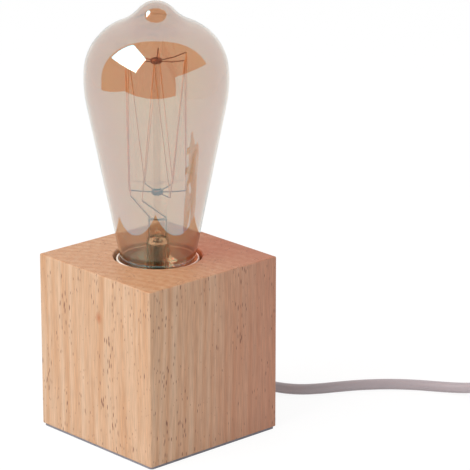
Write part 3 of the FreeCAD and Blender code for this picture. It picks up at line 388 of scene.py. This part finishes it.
def face_outwards(made):
    """Turns an open band about Z so that its faces point away from the axis."""
    outward = sum((face.normal.x * face.center.x + face.normal.y * face.center.y) * face.area
                  for face in made.data.polygons)
    if outward > 0:
        return
    deselect()
    bpy.context.view_layer.objects.active = made
    bpy.ops.object.mode_set(mode="EDIT")
    bpy.ops.mesh.select_all(action="SELECT")
    bpy.ops.mesh.flip_normals()
    bpy.ops.object.mode_set(mode="OBJECT")


def seat(made, body, slot, materials, *nodes):
    """Gives a piece its finish and the body it rides on, and hides the CAD nodes it stands for."""
    made.data.materials.clear()
    for material in materials:
        made.data.materials.append(material)
    if nodes:
        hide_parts(*nodes)
    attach(made, body)
    return made


def direction(azimuth):
    """A level direction from the lamp, in degrees from the camera's own, positive to the picture's right."""
    angle = math.radians(VIEW_AZIMUTH + azimuth)
    return Vector((math.sin(angle), -math.cos(angle), 0))


# Finishes

def rubberwood(colours):
    """Oiled rubberwood, planed and sanded: a fine straight grain along Z with short open pores, darker on the
    end grain, with a soft satin gloss, and painted shade that turns it redder towards the back right corner."""
    material, tree = new_material("oiled rubberwood")
    place = add(tree, "ShaderNodeTexCoord")
    at = place.outputs["Object"]
    # slow waver of the growth rings, 60 mm across and 250 mm along the grain
    waver = noise(tree, at, WAVER, 2.0).outputs["Color"]
    shift = add(tree, "ShaderNodeVectorMath", {0: waver, 1: (0.5, 0.5, 0.5)}, operation="SUBTRACT")
    small = scaled(tree, shift.outputs[0], WAVER_REACH)
    bent = add(tree, "ShaderNodeVectorMath", {0: at, 1: small}, operation="ADD").outputs[0]
    # growth rings 5 mm apart about a pith outside the cube
    pith = add(tree, "ShaderNodeMapping", {"Vector": bent, "Location": PITH_SHIFT})
    rings = add(tree, "ShaderNodeTexWave", {
        "Vector": pith.outputs[0], "Scale": 2 * math.pi / 20 / RING_SPACING, "Distortion": 1.4, "Detail": 2.0,
        "Detail Scale": 0.6}, wave_type="RINGS", rings_direction="Z", wave_profile="SIN")
    # streaks 2.5 mm wide and 70 mm long, and fibres 0.45 mm wide and 9 mm long
    streaks = noise(tree, bent, STREAKS, 3.0).outputs[0]
    fibres = noise(tree, bent, FIBRES, 3.0).outputs[0]
    # pores 0.2 to 0.7 mm wide and 1 to 3.5 mm long, one in each cell of about 1.1 by 5 mm, smaller where a
    # slow noise is low
    pore_place = add(tree, "ShaderNodeMapping", {"Vector": bent, "Scale": PORES})
    pores = add(tree, "ShaderNodeTexVoronoi", {"Vector": pore_place.outputs[0], "Scale": 1.0,
                                               "Randomness": 1.0})
    crowd = noise(tree, at, PORE_CROWDS, 2.0).outputs[0]
    edge = ranged(tree, crowd, (0.42, 0.68), (0.10, 0.34))
    pore = ranged(tree, pores.outputs["Distance"], (edge, 0.0), (0.0, 2.0))
    # pale wood with darker bands and streaks
    band = worked_out(tree, "MULTIPLY", rings.outputs["Fac"], 0.24)
    mixed = worked_out(tree, "MULTIPLY_ADD", streaks, 1.05, band)
    share = ranged(tree, mixed, (0.38, 0.9))
    base = blended(tree, share, colour(colours.sapwood), colour(colours.grainwood))
    # painted shade: the wood turns redder towards the back right corner, where the right side lies in shade
    # and the bulb's amber shadow falls on the top
    parts = add(tree, "ShaderNodeSeparateXYZ", {0: bent})
    across = worked_out(tree, "ADD", parts.outputs["X"], parts.outputs["Y"])
    uneven = worked_out(tree, "MULTIPLY_ADD", streaks, 0.03, across)
    red = ranged(tree, uneven, (0.005, 0.105), (0.0, 0.75), interpolation_type="SMOOTHSTEP")
    redder = blended(tree, red, base, colour(colours.painted_shade_red))
    # end grain takes more oil and is darker
    facing = add(tree, "ShaderNodeSeparateXYZ", {0: place.outputs["Normal"]})
    end = ranged(tree, worked_out(tree, "ABSOLUTE", facing.outputs["Z"]), (0.5, 0.9))
    oiled = blended(tree, end, redder, colour(END_GRAIN), "MULTIPLY")
    fibred = scaled(tree, oiled, ranged(tree, fibres, (0.3, 0.7), (0.82, 1.10)))
    # the pin knot, drawn out along the grain
    knot_at = add(tree, "ShaderNodeMapping", {"Vector": at, "Location": (-KNOT_X, 0.0, -KNOT_Z)})
    flat = add(tree, "ShaderNodeVectorMath", {0: knot_at.outputs[0], 1: KNOT_SQUASH}, operation="MULTIPLY")
    near = add(tree, "ShaderNodeVectorMath", {0: flat.outputs[0]}, operation="LENGTH")
    front = worked_out(tree, "LESS_THAN", parts.outputs["Y"], KNOT_SIDE)
    knot = ranged(tree, near.outputs["Value"], KNOT_FADE, (0.0, 0.75))
    knot_share = worked_out(tree, "MULTIPLY", knot, front)
    knotted = blended(tree, knot_share, fibred, colour(linear(KNOT_COLOUR)))
    pore_share = worked_out(tree, "MULTIPLY", pore, 0.85)
    final = blended(tree, pore_share, knotted, colour(colours.pore))
    # the fibres stand up a little, the pores are open
    gloss = ranged(tree, fibres, (0.3, 0.7), (0.44, 0.58))
    height = worked_out(tree, "SUBTRACT", worked_out(tree, "MULTIPLY", fibres, 0.25), pore)
    bump = add(tree, "ShaderNodeBump", {"Height": height, "Strength": 0.5, "Distance": 0.12 * MM})
    shader = add(tree, "ShaderNodeBsdfPrincipled", {"Base Color": final, "Roughness": gloss, "IOR": 1.5,
                                                    "Normal": bump.outputs[0]})
    close_material(tree, shader.outputs[0])
    return material


def plain_finish(name, base, roughness, grain, relief=0.02, vary=0.06, **sockets):
    """A finish with an even colour: grain is the size in millimetres of its slight mottling and relief, relief
    is its height in millimetres, and vary is how far the colour goes."""
    material, tree = new_material(name)
    at = add(tree, "ShaderNodeTexCoord").outputs["Object"]
    fine = add(tree, "ShaderNodeTexNoise", {"Vector": at, "Scale": 1 / (grain * MM),
                                            "Detail": 4.0}).outputs[0]
    broad = add(tree, "ShaderNodeTexNoise", {"Vector": at, "Scale": 1 / (MOTTLE_WIDTH * grain * MM),
                                             "Detail": 2.0}).outputs[0]
    level = ranged(tree, worked_out(tree, "ADD", fine, broad), (0.6, 1.4), (1 - vary, 1 + vary / 2))
    shade = scaled(tree, base[:3], level)
    dull = ranged(tree, broad, (0.3, 0.7), (roughness - ROUGHNESS_SPREAD, roughness + ROUGHNESS_SPREAD))
    bump = add(tree, "ShaderNodeBump", {"Height": fine, "Strength": 0.6, "Distance": relief * MM})
    shader = add(tree, "ShaderNodeBsdfPrincipled", {"Base Color": shade, "Roughness": dull,
                                                    "Normal": bump.outputs[0], **sockets})
    close_material(tree, shader.outputs[0])
    return material


def dress_plain(names, finish, base, **settings):
    """Gives CAD nodes a plain finish of their own."""
    dress(names, plain_finish(finish, base, **settings))


def clear_glass(name, base, ior, shadow, **sockets):
    """Glass whose shadow is only tinted, since the light goes straight through it."""
    material, tree = new_material(name)
    at = add(tree, "ShaderNodeTexCoord").outputs["Object"]
    # the slow ripples of blown glass, 9 mm apart, drawn out along the bulb
    ripple = noise(tree, at, RIPPLES, 1.0)
    bump = add(tree, "ShaderNodeBump", {"Height": ripple.outputs[0], "Strength": 0.35, "Distance": 0.12 * MM})
    glass = add(tree, "ShaderNodeBsdfPrincipled", {
        "Base Color": colour(base), "Roughness": 0.0, "IOR": ior, "Transmission Weight": 1.0,
        "Normal": bump.outputs[0], **sockets})
    through = add(tree, "ShaderNodeBsdfTransparent", {"Color": colour(shadow)})
    path = add(tree, "ShaderNodeLightPath")
    mixed = add(tree, "ShaderNodeMixShader", {0: path.outputs["Is Shadow Ray"], 1: glass.outputs[0],
                                              2: through.outputs[0]})
    close_material(tree, mixed.outputs[0])
    return material


# Pieces

def coil_point(turn):
    """A point on the coil, which spirals in and out and climbs a layer where the spiral reverses."""
    per_layer = COIL_TURNS / COIL_LAYERS
    half = per_layer * COIL_STEP / 2
    nearest = max(1, min(COIL_LAYERS - 1, round(turn / per_layer)))
    past = turn - nearest * per_layer
    climb = (1 + math.sin(math.pi * max(-0.5, min(0.5, past / (2 * COIL_REVERSAL))))) / 2
    bend = abs(past)
    if bend <= COIL_REVERSAL:
        bend = past ** 2 / (2 * COIL_REVERSAL) + COIL_REVERSAL / 2
    radius = COIL_MIDDLE - half + COIL_STEP * bend if nearest % 2 else COIL_MIDDLE + half - COIL_STEP * bend
    angle = math.radians(COIL_START - 360 * turn)
    height = COIL_BASE + COIL_STEP * (nearest - 1 + climb)
    return COIL_PLACE + Vector((radius * math.cos(angle), radius * math.sin(angle), height))


def smooth_line(name, points, diameter):
    """A round cord on one smooth curve through the route."""
    curve = bpy.data.curves.new(name, "CURVE")
    curve.dimensions = "3D"
    curve.bevel_depth = diameter / 2
    curve.bevel_resolution = 6
    curve.use_fill_caps = True
    spline = curve.splines.new("NURBS")
    spline.points.add(len(points) - 1)
    for knot, point in zip(spline.points, points):
        knot.co = (*point, 1.0)
    spline.order_u = 3
    spline.use_endpoint_u = True
    spline.resolution_u = 8
    made = bpy.data.objects.new(name, curve)
    bpy.context.scene.collection.objects.link(made)
    return made


class LAMP_OT_stage(bpy.types.Operator):
    """Sets up the table, the backdrop, the lights and the camera"""
    bl_idname = "lamp.stage"
    bl_label = "Stage"

    def execute(self, context):
        studio = context.scene.studio_settings
        context.scene.view_settings.view_transform = "Standard"
        self.make_table(studio)
        self.make_board()
        self.make_world(context, studio)
        self.make_lamp(studio)
        camera = bpy.data.objects.new("camera", bpy.data.cameras.new("camera"))
        camera.location = CAMERA_PLACE
        camera.rotation_euler = (math.radians(90 - VIEW_ELEVATION), 0, math.radians(VIEW_AZIMUTH))
        camera.data.lens = studio.lens
        camera.data.sensor_width = SENSOR_WIDTH_MM
        camera.data.clip_start = CLIP_START
        camera.data.clip_end = CLIP_END
        context.scene.collection.objects.link(camera)
        context.scene.camera = camera
        return {"FINISHED"}

    def make_flat(self, name, size, place, turn, material):
        """A flat rectangle with its middle at a place, turned and finished."""
        deselect()
        bpy.ops.mesh.primitive_plane_add(size=1.0, location=(0, 0, 0))
        made = active(name)
        made.scale = (*size, 1)
        made.location = place
        made.rotation_euler = turn
        bpy.ops.object.transform_apply(location=True, rotation=True, scale=True)
        made.data.materials.append(material)
        return made

    def seen_straight(self, tree, path):
        """Whether a ray comes from the camera, also through glass."""
        return worked_out(tree, "MAXIMUM", path.outputs["Is Camera Ray"], path.outputs["Is Transmission Ray"])

    def make_table(self, studio):
        """The white table top. The camera and mirror images see it mostly as plain white."""
        material, tree = new_material("white table")
        path = add(tree, "ShaderNodeLightPath")
        at = add(tree, "ShaderNodeTexCoord").outputs["Object"]
        mottle = add(tree, "ShaderNodeTexNoise", {"Vector": at, "Scale": 40.0, "Detail": 3.0})
        shade = blended(tree, mottle.outputs[0], colour(linear("#F2F2F2")), colour(linear("#F5F5F5")))
        surface = add(tree, "ShaderNodeBsdfPrincipled", {"Base Color": shade, "Roughness": 0.9,
                                                         "Specular IOR Level": 0.0})
        white = add(tree, "ShaderNodeEmission", {"Color": (1, 1, 1, 1), "Strength": TABLE_GLOW})
        shown = worked_out(tree, "MAXIMUM", self.seen_straight(tree, path), path.outputs["Is Glossy Ray"])
        lift = worked_out(tree, "MULTIPLY", shown, studio.floor_lift)
        floor = add(tree, "ShaderNodeMixShader", {0: lift, 1: surface.outputs[0], 2: white.outputs[0]})
        close_material(tree, floor.outputs[0])
        table = self.make_flat("table_top", TABLE_SIZE, direction(180) * TABLE_BEHIND,
                               (0, 0, math.radians(VIEW_AZIMUTH)), material)

    def make_board(self):
        """The white card. Only mirror images see it."""
        material, tree = new_material("white card")
        glow = add(tree, "ShaderNodeEmission", {"Color": (1, 1, 1, 1), "Strength": CARD_GLOW})
        close_material(tree, glow.outputs[0])
        board = self.make_flat("side_card", CARD_SIZE, CARD_PLACE,
                               (math.radians(90), 0, math.radians(CARD_HEADING)), material)
        for ray in ("camera", "diffuse", "transmission", "shadow", "volume_scatter"):
            setattr(board, "visible_" + ray, False)

    def make_world(self, context, studio):
        """White all round for the camera and through glass. Mirror images see a dark room on its side."""
        world = bpy.data.worlds.new("studio")
        context.scene.world = world
        world.use_nodes = True
        tree = world.node_tree
        tree.nodes.clear()
        path = add(tree, "ShaderNodeLightPath")
        way = add(tree, "ShaderNodeTexCoord").outputs["Generated"]
        towards = add(tree, "ShaderNodeVectorMath", {0: way, 1: direction(0)}, operation="DOT_PRODUCT")
        room = ranged(tree, towards.outputs["Value"], ROOM_EDGE, (1.0, ROOM_LEVEL))
        mirrored = add(tree, "ShaderNodeMix", {"Factor": path.outputs["Is Glossy Ray"], 2: studio.sky,
                                               3: room})
        level = add(tree, "ShaderNodeMix", {"Factor": self.seen_straight(tree, path), 2: mirrored.outputs[0],
                                            3: 1.0})
        back = add(tree, "ShaderNodeBackground", {"Color": (1, 1, 1, 1), "Strength": level.outputs[0]})
        add(tree, "ShaderNodeOutputWorld", {"Surface": back.outputs[0]})

    def make_lamp(self, studio):
        """The soft box, placed where its mirror image in the bulb shows it."""
        light = bpy.data.lights.new("soft_box", "AREA")
        light.shape = "RECTANGLE"
        light.size, light.size_y = BOX_SIZE
        light.energy = studio.key_power
        lamp = bpy.data.objects.new("soft_box", light)
        # a light shines along its own -Z; its X runs along the box's long edge
        along = Vector(BOX_ALONG).normalized()
        down = Vector(BOX_DOWN).normalized()
        out = along.cross(-down).normalized()
        turn = Matrix((along, out.cross(along), out)).transposed().to_4x4()
        lamp.matrix_world = Matrix.Translation(BOX_PLACE) @ turn
        bpy.context.scene.collection.objects.link(lamp)


class LAMP_OT_cords(bpy.types.Operator):
    """Lays the grey cord from the cube to the switch, and from there round its coil to the plug"""
    bl_idname = "lamp.cords"
    bl_label = "Cords"

    def execute(self, context):
        colours = context.scene.lamp_colours
        diameter = context.scene.lamp_sizes.cord_diameter
        # extruded soft PVC: smooth, with a low sheen and faint die lines
        pvc = plain_finish("grey cord PVC", colours.cord, roughness=0.42, grain=1.2, vary=0.05)
        short = smooth_line("cord_lamp_to_switch", CORD_TO_SWITCH, diameter)
        seat(short, "lamp", "cord_pvc", [pvc], "cord_to_switch")
        coil = [coil_point(k / COIL_POINTS_PER_TURN)
                for k in range(int(COIL_TURNS * COIL_POINTS_PER_TURN) + 1)]
        route = [SWITCH_END, *SWITCH_TO_COIL, *coil, *CORD_TO_PLUG]
        tail = smooth_line("cord_switch_to_plug", route, diameter)
        seat(tail, "lamp", "cord_pvc", [pvc], "cord_to_coil", "cord_coil", "cord_to_plug")
        dress(("inner_sheath", "switch_sheaths"), pvc)
        return {"FINISHED"}


class LAMP_OT_cube(bpy.types.Operator):
    """Finishes the wooden cube, its pad and the plate that closes it"""
    bl_idname = "lamp.cube"
    bl_label = "Cube"

    def execute(self, context):
        colours = context.scene.lamp_colours
        dress(("wood_block",), rubberwood(colours))
        # closed-cell foam sheet: matt, with a fine open grain
        dress_plain(("base_pad",), "grey foam pad", linear("#8D8D95"), roughness=0.9, grain=0.35, relief=0.08,
                    vary=0.2)
        # moulded ABS with a fine spark texture
        dress_plain(("base_plate", "cord_bush", "clamp_seat", "clamp_saddle"), "grey moulded ABS",
                    linear("#77777C"), roughness=0.55, grain=0.3, relief=0.03, vary=0.05)
        # zinc-plated steel: bluish, bright, faintly cloudy
        dress_plain(("plate_screws", "clamp_screws", "threaded_nipple", "nut_washer", "lock_nut",
                     "terminal_screws", "switch_screws"), "zinc-plated steel", linear("#C6CACC"),
                    roughness=0.34, grain=0.8, relief=0.01, vary=0.08, Metallic=1.0)
        return {"FINISHED"}


class LAMP_OT_bulb(bpy.types.Operator):
    """Turns the bulb's lustred glass and finishes the glass mount and the wires in it"""
    bl_idname = "lamp.bulb"
    bl_label = "Bulb"

    def execute(self, context):
        sizes = context.scene.lamp_sizes
        colours = context.scene.lamp_colours
        points = [p * MM for p in outline_points((0, 0, BULB_TIP), 0, BULB_OUTLINE, ARC_STEP)]
        bulb = turned("glass_bulb", points, sizes.turn_steps)
        apply_modifier(bulb, "SOLIDIFY", thickness=sizes.glass_wall, offset=-1.0, use_rim=True,
                       material_offset=1)
        smooth(bulb)
        # blown soda-lime glass under a thin metal-oxide lustre, which mirrors blue and lets amber through
        lustre = clear_glass("amber lustred glass", colours.glass, SODA_LIME_IOR, (0.80, 0.52, 0.38),
                             **LUSTRE)
        inner = clear_glass("inside of the glass", (1.0, 1.0, 1.0), SODA_LIME_IOR, (0.97, 0.96, 0.95))
        seat(bulb, "bulb", "amber_glass", [lustre, inner], "glass_envelope")
        # lead glass, drawn clear
        mount = clear_glass("lead glass", colours.clear, LEAD_GLASS_IOR, (0.9, 0.88, 0.86))
        dress(("glass_stem", "support_rod"), mount)
        # nickel wire, dulled in the flame
        dress_plain(("side_lead", "tip_lead"), "nickel wire", linear("#D8CFC2"), roughness=0.35, grain=0.3,
                    relief=0.01, vary=0.1, Metallic=0.5)
        # molybdenum wire, blued and browned where the glass was worked hot around it
        dress_plain(("upper_hooks", "lower_hooks"), "molybdenum wire", linear("#7C5C4A"), roughness=0.45,
                    grain=0.3, relief=0.01, vary=0.2, Metallic=0.6)
        # squirted carbon: matt, with a faint sheen
        dress_plain(("filament",), "carbon filament", colours.filament, roughness=0.6, grain=0.2, relief=0.01,
                    vary=0.15)
        return {"FINISHED"}


class LAMP_OT_cap(bpy.types.Operator):
    """Finishes the bulb's screw cap and the lampholder it sits in"""
    bl_idname = "lamp.cap"
    bl_label = "Cap and holder"

    def execute(self, context):
        colours = context.scene.lamp_colours
        nickel = plain_finish("nickel-plated brass", linear("#D2CBBE"), roughness=0.22, grain=1.5,
                              relief=0.006, Metallic=1.0)
        dress(("screw_shell", "plug_pins"), nickel)
        self.make_cap(context.scene.lamp_sizes, nickel)
        # black vitrite glass, poured and glossy
        dress_plain(("cap_insulator",), "black cap glass", linear("#16161A"), roughness=0.12, grain=1.5,
                    relief=0.03, vary=0.2, IOR=1.6)
        dress_plain(("cap_cement",), "cap cement", linear("#C9BBA2"), roughness=0.85, grain=0.4, relief=0.08,
                    vary=0.15)
        dress_plain(("tip_contact",), "solder", linear("#A9A9A6"), roughness=0.38, grain=0.7, relief=0.03,
                    vary=0.12, Metallic=1.0)
        # pressed thermoset: hard, glossy, slightly warm white
        dress_plain(("holder_cap", "holder_skirt"), "white thermoset", colours.holder, roughness=0.28,
                    grain=1.0, relief=0.01, vary=0.04, IOR=1.6)
        dress_plain(("holder_insert",), "glazed steatite", linear("#EDEAE2"), roughness=0.2, grain=0.8,
                    vary=0.04, IOR=1.6)
        dress_plain(("live_terminal", "neutral_terminal", "contact_clamp", "contact_leaf", "switch_contacts"),
                    "brass", linear("#C9A45C"), roughness=0.3, grain=0.9, relief=0.01, vary=0.1, Metallic=1.0)
        for names, finish, code in ((("live_wire",), "brown core insulation", "#6B4228"),
                                    (("neutral_wire", "switch_wires"), "blue core insulation", "#3E6FA8")):
            dress_plain(names, finish, linear(code), roughness=0.45, grain=0.7)
        return {"FINISHED"}

    def make_cap(self, sizes, nickel):
        """The rolled cap: a rounded foot, the thread, and a plain collar that grips the glass."""
        parts = [turned("cap_thread", [Vector((r, 0, z)) * MM for r, z in outline], sizes.turn_steps)
                 for outline in (CAP_FOOT, CAP_COLLAR)]
        parts.append(rolled_thread("cap_thread", sizes))
        for part in parts:
            face_outwards(part)
        deselect()
        for part in parts:
            part.select_set(True)
        bpy.context.view_layer.objects.active = parts[0]
        bpy.ops.object.join()
        cap = active("threaded_cap")
        apply_modifier(cap, "SOLIDIFY", thickness=CAP_SHEET * MM, offset=-1.0, use_rim=True)
        smooth(cap)
        seat(cap, "bulb", "nickel_cap", [nickel], "cap_shell")


class LAMP_OT_cord_fittings(bpy.types.Operator):
    """Finishes the switch on the cord and the plug"""
    bl_idname = "lamp.cord_fittings"
    bl_label = "Switch and plug"

    def execute(self, context):
        colours = context.scene.lamp_colours
        dress_plain(("switch_base", "switch_cover", "switch_rocker", "plug_body"), "grey moulded plastic",
                    colours.moulding, roughness=0.36, grain=0.35, relief=0.015, vary=0.04)
        return {"FINISHED"}


class LAMP_PT_panel(bpy.types.Panel):
    """Lists the lamp's steps, sizes and colours"""
    bl_idname = "LAMP_PT_panel"
    bl_label = "Bare bulb lamp"
    bl_space_type = "VIEW_3D"
    bl_region_type = "UI"
    bl_category = "Lamp"

    def draw(self, context):
        for step in STEPS:
            self.layout.operator(step.bl_idname)
        for group in (context.scene.lamp_sizes, context.scene.lamp_colours, context.scene.studio_settings):
            for name in group.__annotations__:
                self.layout.prop(group, name)


STEPS = (LAMP_OT_stage, LAMP_OT_cords, LAMP_OT_cube, LAMP_OT_bulb, LAMP_OT_cap, LAMP_OT_cord_fittings)
CLASSES = (LampSizes, LampColours, StudioSettings, *STEPS, LAMP_PT_panel)


def register():
    for cls in CLASSES:
        bpy.utils.register_class(cls)
    bpy.types.Scene.lamp_sizes = PointerProperty(type=LampSizes)
    bpy.types.Scene.lamp_colours = PointerProperty(type=LampColours)
    bpy.types.Scene.studio_settings = PointerProperty(type=StudioSettings)


def unregister():
    del bpy.types.Scene.studio_settings
    del bpy.types.Scene.lamp_colours
    del bpy.types.Scene.lamp_sizes
    for cls in reversed(CLASSES):
        bpy.utils.unregister_class(cls)


def main():
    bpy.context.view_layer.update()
    register()
    bpy.ops.lamp.stage()
    bpy.ops.lamp.cords()
    bpy.ops.lamp.cube()
    bpy.ops.lamp.bulb()
    bpy.ops.lamp.cap()
    bpy.ops.lamp.cord_fittings()
    deselect()


if __name__ == "__main__":
    main()
